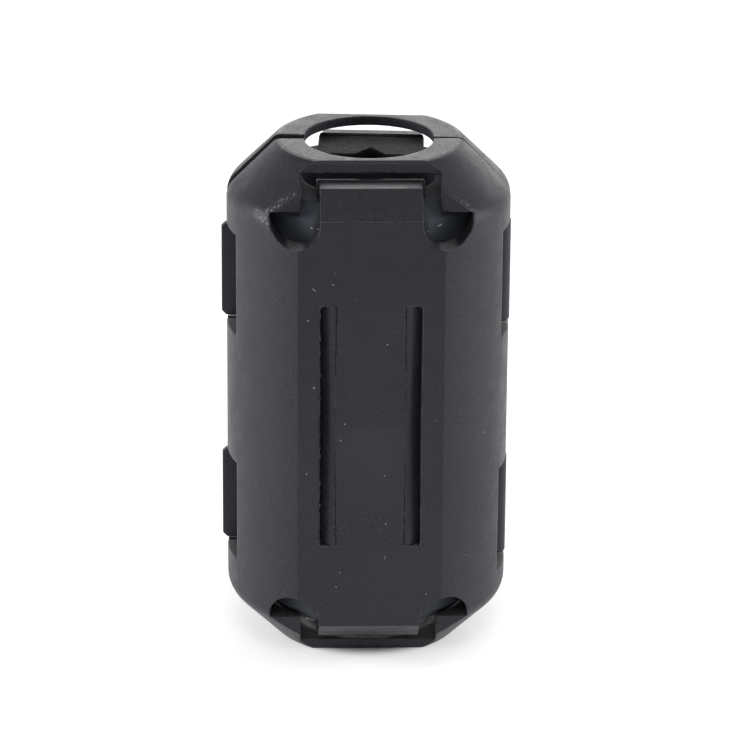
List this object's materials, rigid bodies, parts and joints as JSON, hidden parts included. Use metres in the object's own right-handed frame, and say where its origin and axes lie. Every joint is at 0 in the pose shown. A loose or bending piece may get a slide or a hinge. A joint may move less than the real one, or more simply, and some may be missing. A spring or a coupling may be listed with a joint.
{
  "type": "clip-on ferrite bead",
  "caption": "Clip-on ferrite choke: two hinged plastic half shells, each holding half a ferrite ring, latch round a cable and grip it with spring fingers.",
  "frame": {"origin": "on the cable axis, at the bottom end face", "axes": "+Z along the cable passage, +X towards the hinge, -X towards the latch, -Y towards the fixed front half"},
  "size_m": [0.0199, 0.0178, 0.0358],
  "materials": {
    "moulding": "fine satin moulded nylon, black",
    "ferrite": "smooth sintered ferrite, dark grey"
  },
  "bodies": {
    "front": {"front_shell": "moulding", "front_core": "ferrite", "hinge_strap_upper": "moulding", "hinge_strap_lower": "moulding"},
    "rear": {"rear_shell": "moulding", "rear_core": "ferrite"},
    "latch_upper": {"latch_arm_upper": "moulding"},
    "latch_lower": {"latch_arm_lower": "moulding"},
    "front_top_grip": {"front_grip_top": "moulding"},
    "front_bottom_grip": {"front_grip_bottom": "moulding"},
    "rear_top_grip": {"rear_grip_top": "moulding"},
    "rear_bottom_grip": {"rear_grip_bottom": "moulding"}
  },
  "joints": [
    {"name": "lid_hinge", "type": "hinge", "parent": "front", "child": "rear", "pos_m": [0.00985, 0, 0.01792], "axis": [0, 0, -1], "range_deg": [-3.7, 171], "deforming": ["hinge_strap_upper", "hinge_strap_lower"]},
    {"name": "latch_upper_flex", "type": "hinge", "parent": "rear", "child": "latch_upper", "pos_m": [-0.00798, 0.00622, 0.02645], "axis": [0, 0, -1], "range_deg": [0, 8], "stiffness_Nm_per_rad": 0.05},
    {"name": "latch_lower_flex", "type": "hinge", "parent": "rear", "child": "latch_lower", "pos_m": [-0.00798, 0.00622, 0.0098], "axis": [0, 0, -1], "range_deg": [0, 8], "stiffness_Nm_per_rad": 0.05},
    {"name": "front_top_grip_flex", "type": "hinge", "parent": "front", "child": "front_top_grip", "pos_m": [0, -0.0084, 0.03125], "axis": [1, 0, 0], "range_deg": [0, 9], "stiffness_Nm_per_rad": 0.05},
    {"name": "front_bottom_grip_flex", "type": "hinge", "parent": "front", "child": "front_bottom_grip", "pos_m": [0, -0.0084, 0.0046], "axis": [-1, 0, 0], "range_deg": [0, 9], "stiffness_Nm_per_rad": 0.05},
    {"name": "rear_top_grip_flex", "type": "hinge", "parent": "rear", "child": "rear_top_grip", "pos_m": [0.00058, 0.00903, 0.03125], "axis": [-0.9978, 0.0663, 0], "range_deg": [0, 9], "stiffness_Nm_per_rad": 0.05},
    {"name": "rear_bottom_grip_flex", "type": "hinge", "parent": "rear", "child": "rear_bottom_grip", "pos_m": [0.00058, 0.00903, 0.0046], "axis": [0.9978, -0.0663, 0], "range_deg": [0, 9], "stiffness_Nm_per_rad": 0.05}
  ]
}
